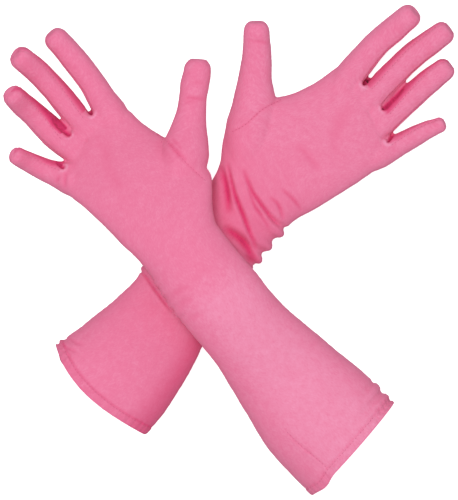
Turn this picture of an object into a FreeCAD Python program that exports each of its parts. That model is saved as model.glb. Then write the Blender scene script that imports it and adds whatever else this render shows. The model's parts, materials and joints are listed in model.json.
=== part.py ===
"""A pair of long stretch-knit gloves, laid crossed on a table with their palms up.

The right-hand glove lies across the sleeve of the left-hand one. Each glove is cut and sewn from a
palm panel and a back panel that run from the cuff to the fingertips, a thumb set into its own seam,
fourchettes between the fingers, and a turned-up hem. The panels are split at the wrist and at the
roots of the digits, where the knit bends. +Z is up, and the origin is on the table, under the middle.
"""
import FreeCAD, Part
import math
import os

# Driving dimensions in millimetres and degrees. Every value becomes a cell of the sheet.
COMMON = {
    "origin_x": 0.32,        # moves every piece, so that the origin is under the middle of the pair
    "origin_y": -2.14,
    "origin_z": 0.016,
    "cloth": 0.9,            # knit with its seam allowances
    "play": 0.5,             # space left between two pieces that bend against each other
    "hem_depth": 8.0,        # turned-up band at the cuff
    "hem_play": 0.2,         # space between the band and the sleeve's inside
    "root_reach": 18.0,      # how far a digit's tube is drawn back behind its root seam
    "edge_round": 5.0,       # how far the hand's top and underside draw in from its outline
    "shoulder_round": 1.5,   # the same, part of the way up
    "crotch_width": 2.6,     # blunt end of the slit between two fingers
    "side_seam_lift": 0.6,   # the side seams run this far above the middle of the tube
    "seam_share": 0.42,      # half of a fourchette's width, as a share of the finger's half thickness
    "finger_flatness": 0.9,  # thickness of a finger over its width
    "thumb_flatness": 0.84,
    "outline_spare": 14.0,   # the hand's outline runs this far past its wrist and its digits' roots
    "limit_share": 0.95,     # half width of the cut at a digit's root, as a share of the root's width
    "strip_half": 20.0,      # half width of the strips that part a finger's panels
    "strip_high": 18.0,      # their height above and below the finger's centre line
    "strip_ahead": 15.0,     # how far they run past the fingertip
    "strip_before": 5.0,     # and how far behind the root
}
# A station is one cross-section of the sleeve or hand: x, y, underside height, width, thickness, heading.
STATION_FIELDS = ("x", "y", "low", "width", "thick", "heading")
STATIONS = {
    "right_hem": (97.0, -154.5, 1.0, 97.0, 56.0, 132.0),
    "right_elbow": (74.5, -131.5, 0.4, 96.0, 54.0, 131.0),
    "right_forearm": (38.5, -89.5, 10.5, 83.0, 46.0, 131.0),
    "right_arch": (5.5, -53.5, 28.0, 69.0, 38.5, 131.0),
    "right_crossing": (-22.0, -17.0, 33.4, 67.0, 37.0, 129.0),
    "right_wrist": (-32.5, -2.5, 33.0, 67.0, 36.0, 128.0),
    "left_hem": (-99.0, -108.0, 1.0, 97.0, 56.0, 48.0),
    "left_elbow": (-74.0, -80.0, 0.0, 89.0, 49.0, 49.0),
    "left_forearm": (-46.0, -45.0, 0.0, 76.0, 33.0, 50.0),
    "left_crossing": (-20.5, -15.5, 0.0, 70.0, 28.5, 50.0),
    "left_wrist": (6.5, 18.0, 0.0, 67.0, 30.0, 48.0),
}
SLEEVES = {
    "right": ("right_hem", "right_elbow", "right_forearm", "right_arch", "right_crossing", "right_wrist"),
    "left": ("left_hem", "left_elbow", "left_forearm", "left_crossing", "left_wrist"),
}
# The hand's underside height and thickness at the wrist and at the middle finger's root.
HAND_FIELDS = ("wrist_low", "wrist_thick", "root_low", "root_thick")
HANDS = {
    "right": (34.0, 34.5, 3.0, 21.0),
    "left": (0.0, 30.0, 2.0, 21.0),
}
# Corners of the hand's outline, from the wrist up the thumb's side, and from the little finger back down.
CORNER_FIELDS = ("x", "y")
CORNERS = {
    "right_thumb_heel": (-12.5, 27.0),
    "right_thumb_base": (-14.5, 50.0),
    "right_thumb_crotch": (-53.0, 91.0),
    "right_index_base": (-77.5, 108.5),
    "right_index_crotch": (-108.0, 108.4),
    "right_middle_crotch": (-124.6, 91.4),
    "right_ring_crotch": (-129.0, 67.5),
    "right_little_base": (-138.5, 52.0),
    "right_palm_edge": (-107.0, 29.5),
    "right_palm_heel": (-82.0, 4.5),
    "left_thumb_heel": (-11.5, 54.0),
    "left_thumb_base": (-5.5, 82.0),
    "left_thumb_crotch": (43.0, 120.0),
    "left_index_base": (73.0, 136.5),
    "left_index_crotch": (104.4, 129.3),
    "left_middle_crotch": (120.0, 110.5),
    "left_ring_crotch": (124.4, 86.6),
    "left_little_base": (126.5, 71.5),
    "left_palm_edge": (88.0, 47.5),
    "left_palm_heel": (57.0, 28.0),
}
# A digit's own cut, the same in both gloves: length beyond its root, width at root and tip.
DIGIT_CUT_FIELDS = ("length", "root_width", "tip_width")
DIGIT_CUTS = {
    "thumb": (79.0, 31.0, 20.0),
    "index": (62.5, 21.4, 19.4),
    "middle": (69.0, 20.8, 19.2),
    "ring": (58.0, 20.4, 18.6),
    "little": (39.0, 18.0, 14.8),
}
# How a digit lies: root x and y, heading, the way its root seam faces, and its rise at root and tip.
DIGIT_LIE_FIELDS = ("x", "y", "heading", "facing", "rise", "curl")
DIGIT_LIES = {
    "right_thumb": (-32.0, 71.5, 85.0, 48.0, -4.0, 8.0),
    "right_index": (-103.2, 120.9, 128.0, 128.0, 3.0, 18.0),
    "right_middle": (-124.3, 111.5, 135.0, 135.0, 5.0, 45.0),
    "right_ring": (-140.8, 95.3, 137.0, 137.0, 5.0, 70.0),
    "right_little": (-142.3, 63.1, 154.5, 154.5, 5.0, 64.0),
    "left_thumb": (20.3, 102.9, 90.0, 127.0, 3.0, 20.0),
    "left_index": (103.6, 147.2, 43.7, 43.7, 5.0, 30.0),
    "left_middle": (119.0, 130.5, 37.7, 37.7, 3.0, 15.0),
    "left_ring": (130.1, 106.5, 40.8, 40.8, 3.0, 15.0),
    "left_little": (135.7, 84.6, 25.0, 25.0, 4.0, 22.0),
}
FINGERS = ("index", "middle", "ring", "little")
HANDS_OF_PAIR = ("right", "left")
# Which sides of a finger carry a fourchette. The outer sides close with the glove's own side seam.
FOURCHETTES = {
    "index": ("little_side",),
    "middle": ("thumb_side", "little_side"),
    "ring": ("thumb_side", "little_side"),
    "little": ("thumb_side",),
}
# The thumb lies to the right of the right palm and to the left of the left palm, seen from above.
THUMB_SIDE_SIGN = {"right": -1.0, "left": 1.0}
# A digit's tube: share of its straight length, and its width as a share from root (0) to tip (1).
TUBE_STEPS = ((0.0, 0.0), (0.34, 0.42), (0.7, 0.85), (1.0, 1.0))
# The rounded tip: share of the tip's half width beyond the straight length, and the width left there.
TIP_STEPS = ((0.5, 0.866), (0.86, 0.51), (0.99, 0.14))
WIDE = 130.0       # far enough past any piece for a cutting block
BEND_PIECES = 24   # short straight pieces that a digit's bent centre line is made of
BEND_PICK = 4      # a strip along a finger follows every so many of them

doc = FreeCAD.newDocument("Gloves")
sheet = doc.addObject("Spreadsheet::Sheet", "Sizes")


def fill_sheet():
    """Write every driving dimension to a cell with an alias."""
    cells = dict(COMMON)
    for table, fields in ((STATIONS, STATION_FIELDS), (HANDS, HAND_FIELDS), (CORNERS, CORNER_FIELDS),
                          (DIGIT_CUTS, DIGIT_CUT_FIELDS), (DIGIT_LIES, DIGIT_LIE_FIELDS)):
        for name, values in table.items():
            for field, value in zip(fields, values):
                cells[name + "_" + field] = value
    for row, (alias, value) in enumerate(cells.items(), start=1):
        sheet.set("A%d" % row, alias)
        sheet.set("B%d" % row, str(value))
        sheet.setAlias("B%d" % row, alias)
    doc.recompute()


def size(alias):
    """The value of a cell, as a plain number."""
    return float(sheet.get(alias))


def along(heading, rise=0.0):
    """Unit vector for a heading in the table's plane and a rise above it, in degrees."""
    a, e = math.radians(heading), math.radians(rise)
    return FreeCAD.Vector(math.cos(a) * math.cos(e), math.sin(a) * math.cos(e), math.sin(e))


def pose(centre, heading, rise=0.0):
    """Placement whose local X runs across the heading, Y up and Z back along the heading."""
    forward = along(heading, rise)
    up = along(heading, rise + 90.0)
    across = forward.cross(up)
    return FreeCAD.Placement(FreeCAD.Matrix(across.x, up.x, -forward.x, centre.x,
                                            across.y, up.y, -forward.y, centre.y,
                                            across.z, up.z, -forward.z, centre.z,
                                            0, 0, 0, 1))


def ellipse(name, placement, wide, thick):
    """An ellipse of the given width and thickness expressions, across the heading."""
    ring = doc.addObject("Part::Ellipse", name)
    ring.setExpression("MajorRadius", wide)
    ring.setExpression("MinorRadius", thick)
    ring.Placement = placement
    return ring


def loft(name, rings):
    """A closed solid through the rings."""
    solid = doc.addObject("Part::Loft", name)
    solid.Sections = rings
    solid.Solid = True
    solid.Ruled = True
    return solid


def cut(name, base, tool):
    """base with tool taken out of it."""
    made = doc.addObject("Part::Cut", name)
    made.Base, made.Tool = base, tool
    return made


def common(name, base, tool):
    """What base and tool share."""
    made = doc.addObject("Part::Common", name)
    made.Base, made.Tool = base, tool
    return made


def fuse(name, shapes):
    """The shapes joined."""
    if len(shapes) == 1:
        return shapes[0]
    made = doc.addObject("Part::MultiFuse", name)
    made.Shapes = shapes
    return made


def block(name, centre, heading, length, half_width, half_height=WIDE):
    """A box that starts at centre and runs along the heading."""
    box = doc.addObject("Part::Box", name)
    box.Length, box.Width, box.Height = length, 2 * half_width, 2 * half_height
    forward, left = along(heading), along(heading + 90.0)
    corner = centre - left * half_width - FreeCAD.Vector(0, 0, half_height)
    box.Placement = FreeCAD.Placement(FreeCAD.Matrix(forward.x, left.x, 0, corner.x,
                                                     forward.y, left.y, 0, corner.y,
                                                     0, 0, 1, corner.z,
                                                     0, 0, 0, 1))
    return box


def slab(name, points, side, from_side, to_side):
    """A closed outline in an upright plane, made thick from one distance along side to another."""
    outline = doc.addObject("Part::Polygon", name + "_outline")
    outline.Nodes = [p + side * from_side for p in points]
    outline.Close = True
    made = doc.addObject("Part::Extrusion", name)
    made.Base = outline
    made.DirMode = "Custom"
    made.Dir = side
    made.LengthFwd = to_side - from_side
    made.Solid = True
    return made


def station_centre(station):
    """Middle of a station's cross-section."""
    return FreeCAD.Vector(size(station + "_x"), size(station + "_y"),
                          size(station + "_low") + size(station + "_thick") / 2)


def station_ring(station, name, inset="0", back=0.0):
    """The station's ellipse, taken in by inset, and moved back along the heading."""
    heading = size(station + "_heading")
    centre = station_centre(station) - along(heading) * back
    return ellipse(name, pose(centre, heading),
                   "Sizes.%s_width / 2 - %s" % (station, inset),
                   "Sizes.%s_thick / 2 - %s" % (station, inset))


def upper_half(name, centres, heading):
    """A block that holds all above the line through the centres, run out past both ends."""
    forward, left = along(heading), along(heading + 90.0)
    first, last = centres[0], centres[-1]
    lift = FreeCAD.Vector(0, 0, size("side_seam_lift"))
    line = [first + forward * forward.dot(c - first) + lift for c in centres]
    for point, centre in zip(line, centres):
        point.z = centre.z + lift.z
    slope = (line[-1].z - line[-2].z) / (line[-1] - line[-2]).dot(forward)
    beyond = forward * WIDE / 2
    end = line[-1] + beyond + FreeCAD.Vector(0, 0, slope * WIDE / 2)
    line = [line[0] - beyond] + line + [end]
    high = WIDE + max(p.z for p in line)
    top = [FreeCAD.Vector(p.x, p.y, high) for p in (line[-1], line[0])]
    return slab(name, line + top, left, -WIDE, WIDE)


def build_sleeve(hand):
    """Sleeve from the cuff to the wrist: palm and back panels and the turned-up hem."""
    stations = SLEEVES[hand]
    play = size("play") / 2
    outer_rings, inner_rings = [], []
    for s in stations:
        back = play if s.endswith("wrist") else 0.0
        outer_rings.append(station_ring(s, s + "_sleeve_ring", back=back))
        inner_rings.append(station_ring(s, s + "_sleeve_bore_ring", "Sizes.cloth", back=back))
    outer = loft(hand + "_sleeve_outside", outer_rings)
    inner = loft(hand + "_sleeve_inside", inner_rings)
    shell = cut(hand + "_sleeve_shell", outer, inner)
    centres = [station_centre(s) for s in stations]
    upper = upper_half(hand + "_sleeve_upper", centres, size(stations[-1] + "_heading"))
    palm = common(hand + "_sleeve_palm_panel", shell, upper)
    back = cut(hand + "_sleeve_back_panel", shell, upper)

    hem_station = stations[0]
    heading = size(hem_station + "_heading")
    band_outer = loft(hand + "_hem_outside",
                      [station_ring(s, s + "_hem_ring", "(Sizes.cloth + Sizes.hem_play)")
                       for s in stations])
    band_inner = loft(hand + "_hem_inside",
                      [station_ring(s, s + "_hem_bore_ring", "(2 * Sizes.cloth + Sizes.hem_play)")
                       for s in stations])
    band = cut(hand + "_hem_tube", band_outer, band_inner)
    reach = block(hand + "_hem_reach", station_centre(hem_station) - along(heading) * WIDE / 2,
                  heading, WIDE / 2 + size("hem_depth"), WIDE)
    hem = common(hand + "_cuff_hem", band, reach)
    return [palm, back, hem]


def root_position(hand, digit):
    """Where a digit's root is, seen from above."""
    return FreeCAD.Vector(size("%s_%s_x" % (hand, digit)), size("%s_%s_y" % (hand, digit)), 0)


def hand_height(hand, point, share):
    """Height at a share (0 to 1) of the hand's thickness, over a point of the table."""
    wrist = station_centre(hand + "_wrist")
    wrist.z = 0
    run = root_position(hand, "middle") - wrist
    at = (point - wrist).dot(run) / run.dot(run)
    low = size(hand + "_wrist_low") + (size(hand + "_root_low") - size(hand + "_wrist_low")) * at
    thick = size(hand + "_wrist_thick") + (size(hand + "_root_thick") - size(hand + "_wrist_thick")) * at
    return low + thick * share


def root_centre(hand, digit):
    """Middle of a digit's root seam."""
    centre = root_position(hand, digit)
    centre.z = hand_height(hand, centre, 0.5)
    return centre


def digit_path(hand, digit, inset=0.0):
    """Centre, heading and rise at each step of a digit's tube, and of its rounded tip."""
    lie = hand + "_" + digit
    centre = root_centre(hand, digit)
    heading = size(lie + "_heading")
    rise, curl = size(lie + "_rise"), size(lie + "_curl")
    length, tip = size(digit + "_length"), size(digit + "_tip_width") / 2
    straight = length - tip
    points = [(centre, rise)]
    for i in range(BEND_PIECES):
        angle = rise + (curl - rise) * (i + 0.5) / BEND_PIECES
        centre = centre + along(heading, angle) * (straight / BEND_PIECES)
        points.append((centre, rise + (curl - rise) * (i + 1) / BEND_PIECES))
    steps = []
    for share, narrow in TUBE_STEPS:
        where, angle = points[round(share * BEND_PIECES)]
        steps.append((where, angle, narrow, 1.0))
    end, angle = points[-1]
    for beyond, left in TIP_STEPS:
        steps.append((end + along(heading, angle) * ((tip - inset) * beyond), angle, 1.0, left))
    return heading, steps, [p for p, _ in points], rise, curl


def digit_tube(hand, digit, inset_cell, name):
    """The digit's tube with its rounded tip, from inside the hand, taken in by a cell's length."""
    inset = 0.0 if inset_cell == "0" else size("cloth")
    heading, steps, _, rise, _ = digit_path(hand, digit, inset)
    flat = "Sizes.thumb_flatness" if digit == "thumb" else "Sizes.finger_flatness"
    root, tip = "Sizes.%s_root_width" % digit, "Sizes.%s_tip_width" % digit
    back = steps[0][0] - along(heading, rise) * size("root_reach")
    rings = []
    for i, (centre, angle, narrow, left) in enumerate([(back, rise, 0.0, 1.0)] + steps):
        half = "(%s + (%s - %s) * %s) / 2" % (root, tip, root, narrow)
        wide = "(%s - %s) * %s" % (half, inset_cell, left)
        thick = "(%s * %s - %s) * %s" % (half, flat, inset_cell, left)
        rings.append(ellipse("%s_ring_%d" % (name, i), pose(centre, heading, angle), wide, thick))
    return loft(name, rings)


def root_block(hand, digit, name, offset, reach):
    """A block that holds what is beyond the digit's root seam, moved along the seam's facing by offset."""
    facing = size("%s_%s_facing" % (hand, digit))
    return block(name, root_centre(hand, digit) + along(facing) * offset, facing, WIDE, reach)


def finger_slab(hand, digit, side_name, low, high, name):
    """A strip along the finger between two heights over its centre line, on one side of it."""
    heading, _, line, rise, curl = digit_path(hand, digit)
    lower, upper = [], []
    for i in range(0, BEND_PIECES + 1, BEND_PICK):
        up = along(heading, rise + (curl - rise) * i / BEND_PIECES + 90.0)
        lower.append(line[i] + up * low)
        upper.append(line[i] + up * high)
    ahead = along(heading, curl) * size("strip_ahead")
    before = along(heading, rise) * size("strip_before")
    lower = [lower[0] - before] + lower + [lower[-1] + ahead]
    upper = [upper[0] - before] + upper + [upper[-1] + ahead]
    half = size("strip_half")
    sign = THUMB_SIDE_SIGN[hand]
    spans = {"both": (-half, half), "thumb_side": (0.0, half * sign), "little_side": (0.0, -half * sign)}
    span = sorted(spans[side_name])
    return slab(name, lower + list(reversed(upper)), along(heading + 90.0), *span)


def build_digit(hand, digit):
    """The digit's pieces beyond its root seam: two panels and its fourchettes."""
    name = hand + "_" + digit
    outer = digit_tube(hand, digit, "0", name + "_outside")
    inner = digit_tube(hand, digit, "Sizes.cloth", name + "_inside")
    beyond = root_block(hand, digit, name + "_beyond", size("play") / 2, WIDE)
    tube = cut(name + "_tube", outer, inner)
    shell = common(name + "_shell", tube, beyond)
    thick = size(digit + "_root_width") / 2 * size("finger_flatness")
    rim = size("seam_share") * thick
    far = size("strip_high")
    pieces = []
    sides = FOURCHETTES.get(digit, ())
    palm_parts, back_parts = [], []
    for side in ("thumb_side", "little_side") if sides else ("both",):
        over, under = rim, -rim
        if side not in sides:
            over = under = size("side_seam_lift")
        palm_parts.append(finger_slab(hand, digit, side, over, far, "%s_%s_over" % (name, side)))
        if sides:
            back_parts.append(finger_slab(hand, digit, side, -far, under, "%s_%s_under" % (name, side)))
        if side in sides:
            strip = finger_slab(hand, digit, side, under, over, "%s_%s_strip" % (name, side))
            pieces.append(common("%s_fourchette_%s" % (name, side), shell, strip))
    over = fuse(name + "_over", palm_parts)
    palm = common(name + "_palm_panel", shell, over)
    if sides:
        back = common(name + "_back_panel", shell, fuse(name + "_under", back_parts))
    else:
        back = cut(name + "_back_panel", shell, over)
    return [palm, back] + pieces


def inset_outline(points, amount):
    """The outline drawn in by an amount, with its sides kept parallel. Points run anticlockwise."""
    moved = []
    for i, here in enumerate(points):
        to_here = here - points[i - 1]
        from_here = points[(i + 1) % len(points)] - here
        normals = []
        for edge in (to_here, from_here):
            edge.normalize()
            normals.append(FreeCAD.Vector(-edge.y, edge.x, 0))
        both = normals[0] + normals[1]
        moved.append(here + both * (2 * amount / both.dot(both)))
    return moved


def hand_outline(hand):
    """Corners of the hand seen from above, run out past the wrist and past the digits' roots."""
    sign = THUMB_SIDE_SIGN[hand]
    spare = size("outline_spare")
    heading = size(hand + "_wrist_heading")
    wrist = station_centre(hand + "_wrist")
    wrist.z = 0
    to_thumb_side = along(heading + 90.0) * sign
    half = size(hand + "_wrist_width") / 2

    def corner(name):
        return FreeCAD.Vector(size("%s_%s_x" % (hand, name)), size("%s_%s_y" % (hand, name)), 0)

    def digit_end(digit):
        lie = "%s_%s_heading" % (hand, digit)
        side = along(size(lie) + 90.0) * sign * size(digit + "_root_width") / 2
        end = root_position(hand, digit) + along(size(lie)) * spare
        return [end + side, end - side]

    points = [wrist + to_thumb_side * half - along(heading) * spare, wrist + to_thumb_side * half,
              corner("thumb_heel"), corner("thumb_base")]
    points += digit_end("thumb") + [corner("thumb_crotch"), corner("index_base")]
    for digit, following in zip(FINGERS, FINGERS[1:]):
        points += digit_end(digit)
        across = root_position(hand, following) - root_position(hand, digit)
        across.normalize()
        blunt = across * size("crotch_width") / 2
        points += [corner(digit + "_crotch") - blunt, corner(digit + "_crotch") + blunt]
    points += digit_end("little") + [corner("little_base"), corner("palm_edge"), corner("palm_heel"),
                                     wrist - to_thumb_side * half,
                                     wrist - to_thumb_side * half - along(heading) * spare]
    return points if sign < 0 else list(reversed(points))


def hand_solid(hand, inset, name):
    """The hand filled, with softened edges, taken in by inset all over."""
    outline = hand_outline(hand)
    edge, shoulder = size("edge_round"), size("shoulder_round")
    rings = []
    levels = ((0.0, edge), (0.2, shoulder), (0.5, 0.0), (0.8, shoulder), (1.0, edge))
    for number, (share, draw_in) in enumerate(levels):
        ring = doc.addObject("Part::Polygon", "%s_ring_%d" % (name, number))
        nodes = []
        for p in inset_outline(outline, draw_in + inset):
            p.z = hand_height(hand, p, share) + inset * (1.0 - 2.0 * share)
            nodes.append(p)
        ring.Nodes = nodes
        ring.Close = True
        rings.append(ring)
    return loft(name, rings)


def build_hand(hand):
    """Hand from the wrist to the roots of the digits: palm and back panels."""
    play = size("play") / 2
    outer = hand_solid(hand, 0.0, hand + "_hand_outside")
    inner = hand_solid(hand, size("cloth"), hand + "_hand_inside")
    heading = size(hand + "_wrist_heading")
    wrist = station_centre(hand + "_wrist")
    limits = []
    for digit in DIGIT_CUTS:
        reach = size("limit_share") * size(digit + "_root_width")
        limits.append(root_block(hand, digit, "%s_%s_limit" % (hand, digit), -play, reach))
    at_wrist = wrist + along(heading) * play
    limits.append(block(hand + "_wrist_limit", at_wrist, heading + 180.0, WIDE / 2, WIDE / 2))
    tube = cut(hand + "_hand_tube", outer, inner)
    shell = cut(hand + "_hand_shell", tube, fuse(hand + "_limits", limits))
    centres = []
    for point in (wrist, root_position(hand, "middle")):
        centres.append(FreeCAD.Vector(point.x, point.y, hand_height(hand, point, 0.5)))
    run = centres[1] - centres[0]
    upper = upper_half(hand + "_hand_upper", centres, math.degrees(math.atan2(run.y, run.x)))
    palm = common(hand + "_hand_palm_panel", shell, upper)
    back = cut(hand + "_hand_back_panel", shell, upper)
    return [palm, back]


def build():
    """All pieces of both gloves."""
    pieces = []
    for hand in HANDS_OF_PAIR:
        pieces += build_sleeve(hand)
        pieces += build_hand(hand)
        for digit in DIGIT_CUTS:
            pieces += build_digit(hand, digit)
    return pieces


def check_and_write(pieces):
    """Stop on a failed object, then write one STEP file for each piece."""
    doc.recompute()
    failed = [o.Name for o in doc.Objects if "Invalid" in o.State or "Error" in o.State]
    if failed:
        raise RuntimeError("objects failed: %s" % ", ".join(failed))
    os.makedirs("parts", exist_ok=True)
    origin = FreeCAD.Vector(size("origin_x"), size("origin_y"), size("origin_z"))
    for piece in pieces:
        piece.Placement = FreeCAD.Placement(origin, FreeCAD.Rotation())
        shape = piece.Shape
        if shape.isNull() or not shape.isValid() or not shape.Solids:
            raise RuntimeError("bad shape: " + piece.Name)
        piece.Label = piece.Name
        print("%-40s solids %d  volume %.0f" % (piece.Label, len(shape.Solids), shape.Volume))
        shape.exportStep(os.path.join("parts", piece.Label + ".step"))


fill_sheet()
check_and_write(build())
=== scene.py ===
"""A pair of pink stretch-knit gloves, laid crossed with the palms up. Lengths in this file are in
millimetres until ORIGIN shifts them and MM turns them into the frame's metres."""
import json
import math

import bmesh
import bpy
import numpy as np
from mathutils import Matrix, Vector, noise
from mathutils.bvhtree import BVHTree

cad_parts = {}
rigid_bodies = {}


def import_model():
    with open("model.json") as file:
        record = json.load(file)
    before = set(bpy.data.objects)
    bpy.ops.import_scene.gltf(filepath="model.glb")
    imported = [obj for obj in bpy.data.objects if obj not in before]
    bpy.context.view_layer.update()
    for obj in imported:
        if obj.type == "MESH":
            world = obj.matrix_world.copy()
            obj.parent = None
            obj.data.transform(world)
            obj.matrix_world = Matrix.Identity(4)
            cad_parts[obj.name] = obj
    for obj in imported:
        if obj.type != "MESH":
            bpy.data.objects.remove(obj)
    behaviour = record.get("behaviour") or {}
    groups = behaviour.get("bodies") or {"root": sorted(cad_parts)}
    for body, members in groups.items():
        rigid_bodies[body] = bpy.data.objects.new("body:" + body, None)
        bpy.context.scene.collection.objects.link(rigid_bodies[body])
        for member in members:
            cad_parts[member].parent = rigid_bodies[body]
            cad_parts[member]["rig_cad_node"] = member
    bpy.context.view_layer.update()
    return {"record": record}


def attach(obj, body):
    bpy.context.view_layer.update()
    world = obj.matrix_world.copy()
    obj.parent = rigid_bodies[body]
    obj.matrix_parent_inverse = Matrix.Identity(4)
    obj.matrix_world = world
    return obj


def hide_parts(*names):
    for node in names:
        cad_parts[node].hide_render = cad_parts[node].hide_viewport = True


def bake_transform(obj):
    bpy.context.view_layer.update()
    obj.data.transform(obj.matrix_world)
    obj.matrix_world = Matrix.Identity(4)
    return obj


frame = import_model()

CAD_NODES = [o.name for o in bpy.context.scene.objects if "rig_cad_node" in o]
MM = 0.001
ORIGIN = np.array((0.32, -2.14, 0.016))   # the CAD's own shift of everything, in mm
CLOTH = 1.0
VOXEL = 1.0

# ---- the gloves' shapes --------------------------------------------------------------------------
# A rung is a cross-section between two edge points: thumb-side x, y, little-side x, y, underside, top.
RUNGS = {
    "right": [
        (127.8, -117.9, 64.2, -189.6, 1.0, 57.0),
        (115.6, -104.5, 46.8, -172.2, 0.8, 56.5),
        (102.3, -92.0, 30.8, -154.4, 0.8, 54.8),
        (88.0, -80.3, 20.8, -139.1, 2.8, 53.5),
        (74.5, -69.4, 11.6, -123.4, 6.5, 53.6),
        (58.0, -55.5, 0.8, -105.0, 13.5, 57.5),
        (42.5, -42.0, -9.6, -88.0, 21.5, 62.5),
        (31.0, -29.5, -20.5, -73.5, 28.0, 66.5),
        (20.5, -16.0, -31.5, -61.0, 32.2, 69.2),
        (10.5, -4.4, -41.2, -48.6, 33.6, 70.2),
        (0.5, 7.5, -50.0, -36.0, 33.8, 70.0),
        (-7.0, 17.2, -57.0, -25.0, 33.8, 69.2),
        (-11.3, 24.0, -62.0, -16.5, 33.2, 68.0),
        (-13.4, 36.0, -72.0, -4.5, 31.0, 65.5),
        (-13.6, 49.0, -83.6, 6.0, 27.5, 61.8),
        (-15.9, 63.0, -97.0, 19.8, 22.8, 56.0),
        (-34.4, 80.4, -110.0, 32.0, 17.5, 49.0),
        (-52.3, 90.0, -121.5, 41.5, 13.0, 42.0),
        (-66.8, 99.6, -130.0, 48.5, 9.5, 35.5),
        (-78.8, 110.9, -133.5, 55.5, 7.0, 30.0),
        (-87.0, 114.4, -129.5, 64.5, 6.5, 27.0),
    ],
    "left": [
        (-135.3, -72.5, -65.5, -142.4, 1.0, 57.0),
        (-126.0, -65.6, -55.0, -130.8, 0.8, 55.0),
        (-117.0, -59.0, -46.4, -118.8, 0.4, 52.0),
        (-105.0, -49.5, -39.2, -107.3, 0.3, 46.5),
        (-94.0, -41.0, -32.2, -95.7, 0.3, 41.0),
        (-84.0, -32.0, -25.8, -83.8, 0.3, 36.0),
        (-75.0, -23.0, -19.8, -71.5, 0.3, 32.0),
        (-67.0, -11.5, -11.5, -57.5, 0.3, 29.5),
        (-57.5, 0.8, -3.0, -44.0, 0.3, 28.6),
        (-46.5, 14.0, 8.5, -28.5, 0.3, 28.6),
        (-34.5, 29.0, 20.0, -12.0, 0.3, 29.0),
        (-24.5, 41.5, 30.0, 1.6, 0.3, 30.0),
        (-14.5, 54.5, 40.2, 13.5, 0.3, 30.4),
        (-7.4, 69.6, 50.5, 24.5, 0.3, 30.4),
        (-5.0, 88.0, 65.4, 32.5, 0.3, 30.0),
        (0.8, 104.5, 81.1, 42.2, 0.3, 29.5),
        (24.0, 117.0, 96.0, 51.6, 0.4, 29.0),
        (49.0, 124.0, 110.0, 60.9, 0.6, 27.5),
        (69.5, 134.2, 120.2, 68.8, 0.9, 26.0),
        (83.0, 144.2, 125.0, 75.0, 1.4, 24.0),
        (89.4, 145.6, 122.0, 81.5, 2.2, 22.5),
    ],
}
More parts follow.
